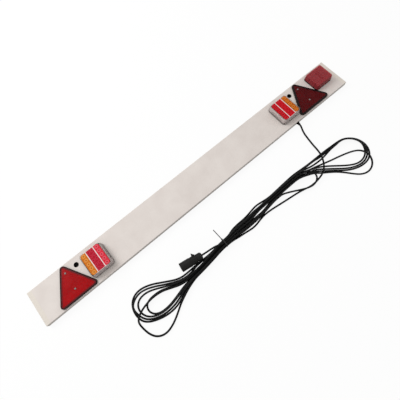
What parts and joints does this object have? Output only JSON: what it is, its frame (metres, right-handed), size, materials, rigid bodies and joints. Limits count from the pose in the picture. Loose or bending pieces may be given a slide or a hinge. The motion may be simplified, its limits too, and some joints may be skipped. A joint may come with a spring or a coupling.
{
  "type": "trailer lighting board",
  "caption": "White hollow plastic board with rear lamps, a fog lamp and red triangle reflectors, and a coiled cable with a round plug, strapped to the back of a trailer.",
  "frame": {"origin": "centre of the board's back face, which lies on the floor", "axes": "X along the board towards the fog lamp, Y across it towards the strap holes, Z out of its front"},
  "size_m": [1.5, 0.4746, 0.05],
  "materials": {
    "white_pvc": "matt white rigid PVC, fine extrusion grain",
    "ivory_pvc": "ivory moulded PVC, satin",
    "black_rubber": "matt black rubber",
    "black_plastic": "satin black moulded plastic",
    "grey_plastic": "satin grey moulded plastic",
    "circuit_board": "green solder mask",
    "led_package": "small white packages with a yellow dome",
    "clear_lens": "clear moulded acrylic, greyed by depth",
    "amber_lens": "amber moulded acrylic",
    "dark_red_lens": "dark red moulded acrylic",
    "bright_red_lens": "red moulded acrylic",
    "fog_red_lens": "red moulded acrylic",
    "red_reflector": "red acrylic with reflex prisms behind",
    "bare_aluminium": "bare aluminium rivet heads",
    "zinc_steel": "bright zinc plated steel",
    "black_pvc": "satin black PVC sheath",
    "black_nylon": "black nylon",
    "plug_plastic": "satin dark grey moulded plastic",
    "pin_brass": "plain brass contacts"
  },
  "bodies": {
    "root": {"plank": "white_pvc", "left_end_cap": "ivory_pvc", "right_end_cap": "ivory_pvc", "left_strap_grommet": "black_rubber", "right_strap_grommet": "black_rubber", "left_lamp_gasket": "black_rubber", "left_lamp_base": "grey_plastic", "left_lamp_led_board": "circuit_board", "left_lamp_leds": "led_package", "left_lamp_lens": "clear_lens", "left_lamp_amber_window": "amber_lens", "left_lamp_stop_window": "dark_red_lens", "left_lamp_tail_window": "bright_red_lens", "left_reflector_tray": "black_plastic", "left_reflector_lens": "red_reflector", "left_lamp_wire": "black_pvc", "right_lamp_gasket": "black_rubber", "right_lamp_base": "grey_plastic", "right_lamp_led_board": "circuit_board", "right_lamp_leds": "led_package", "right_lamp_lens": "clear_lens", "right_lamp_amber_window": "amber_lens", "right_lamp_stop_window": "dark_red_lens", "right_lamp_tail_window": "bright_red_lens", "right_reflector_tray": "black_plastic", "right_reflector_lens": "red_reflector", "right_lamp_wire": "black_pvc", "fog_gasket": "black_rubber", "fog_base": "black_plastic", "fog_led_board": "circuit_board", "fog_leds": "led_package", "fog_lens": "fog_red_lens", "reflector_rivets": "bare_aluminium", "lamp_studs": "zinc_steel", "lamp_washers": "zinc_steel", "lamp_nuts": "zinc_steel", "inner_cable": "black_pvc", "wire_splice": "black_rubber", "fog_lamp_wire": "black_pvc", "cable_grommet": "black_rubber", "cable_lead": "black_pvc", "cable_hank": "black_pvc", "cable_tie": "black_nylon", "plug_cable": "black_pvc", "plug_shell": "plug_plastic", "plug_insert": "plug_plastic", "plug_pins": "pin_brass", "plug_cap": "plug_plastic"}
  },
  "joints": []
}
